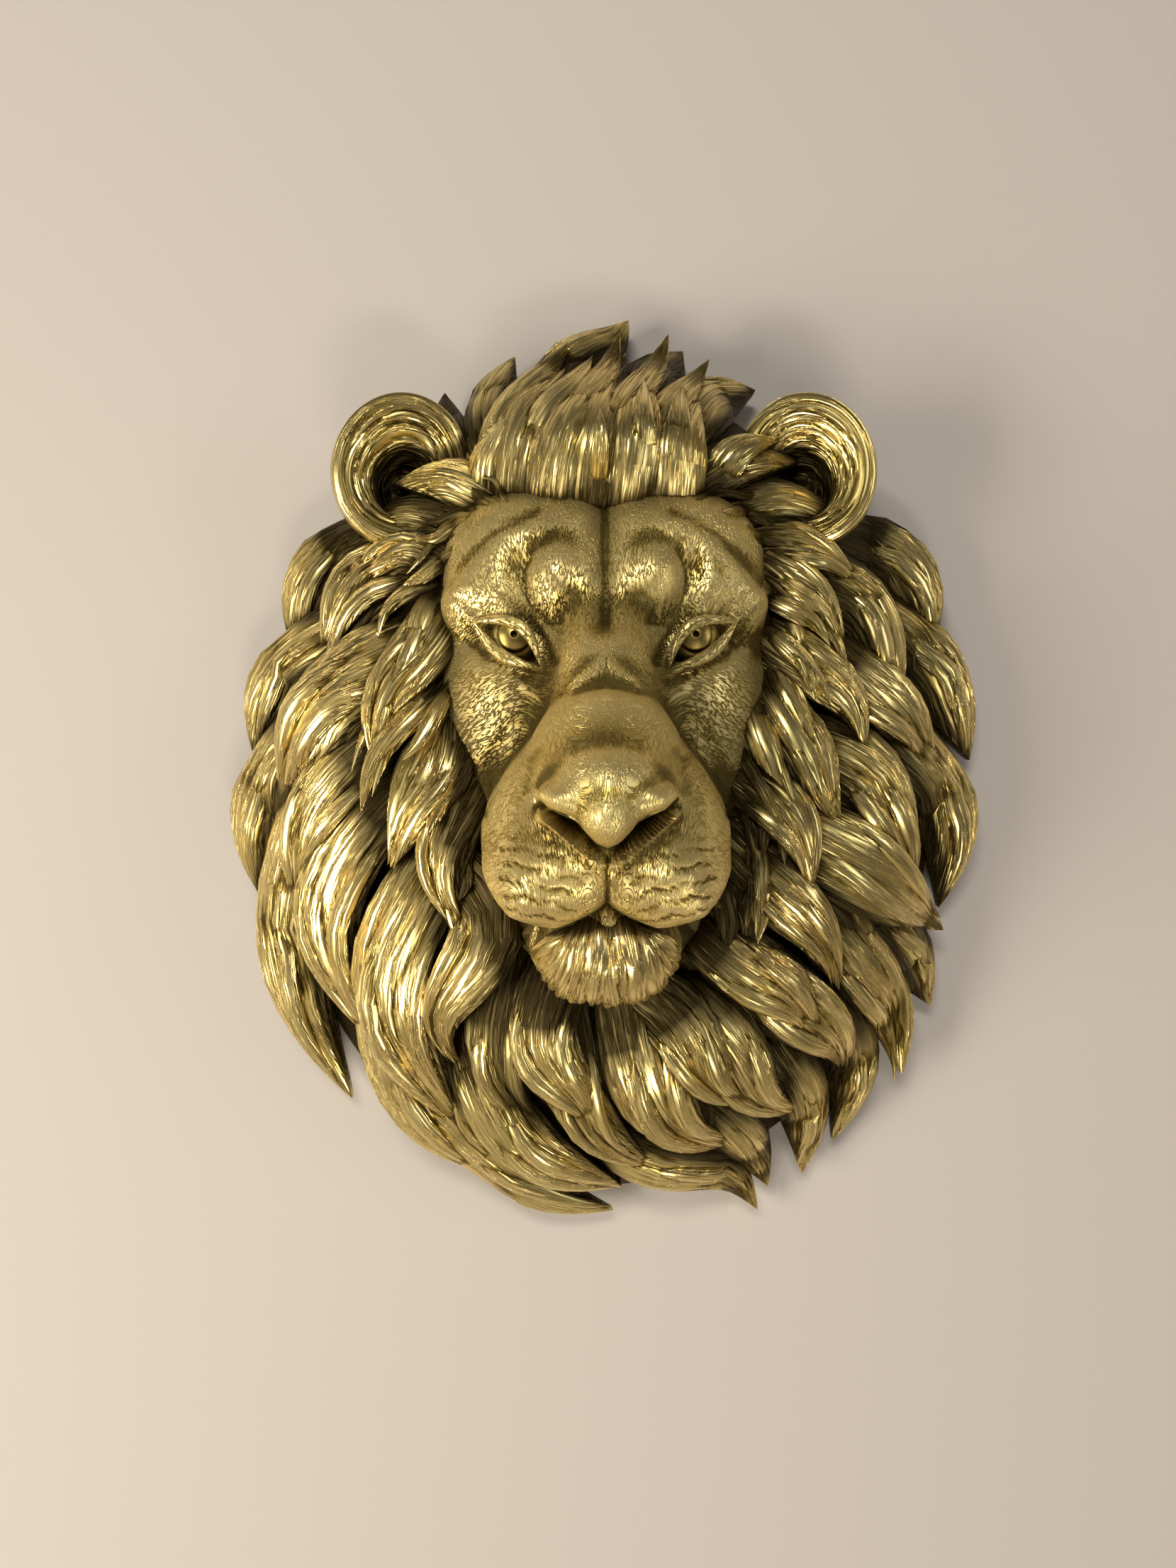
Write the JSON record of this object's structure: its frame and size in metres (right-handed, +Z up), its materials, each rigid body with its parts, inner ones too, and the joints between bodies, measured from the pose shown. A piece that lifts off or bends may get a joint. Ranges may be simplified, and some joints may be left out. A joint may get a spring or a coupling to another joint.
{
  "type": "lion head wall mask",
  "caption": "Lion head wall mask: a face in high relief with ears, in a mane of overlapping swept locks, on a flat back.",
  "frame": {"origin": "on the flat back, behind the middle of the nose, where the mask lies against the wall", "axes": "+Y into the wall, so the lion looks along -Y; +Z up"},
  "size_m": [0.2878, 0.1447, 0.3462],
  "materials": {
    "gold_paint": "cast resin with brushed metallic gold paint, pale on the ridges and dark olive bronze in the recesses"
  },
  "bodies": {
    "root": {"lion_head_mask": "gold_paint"}
  },
  "joints": []
}
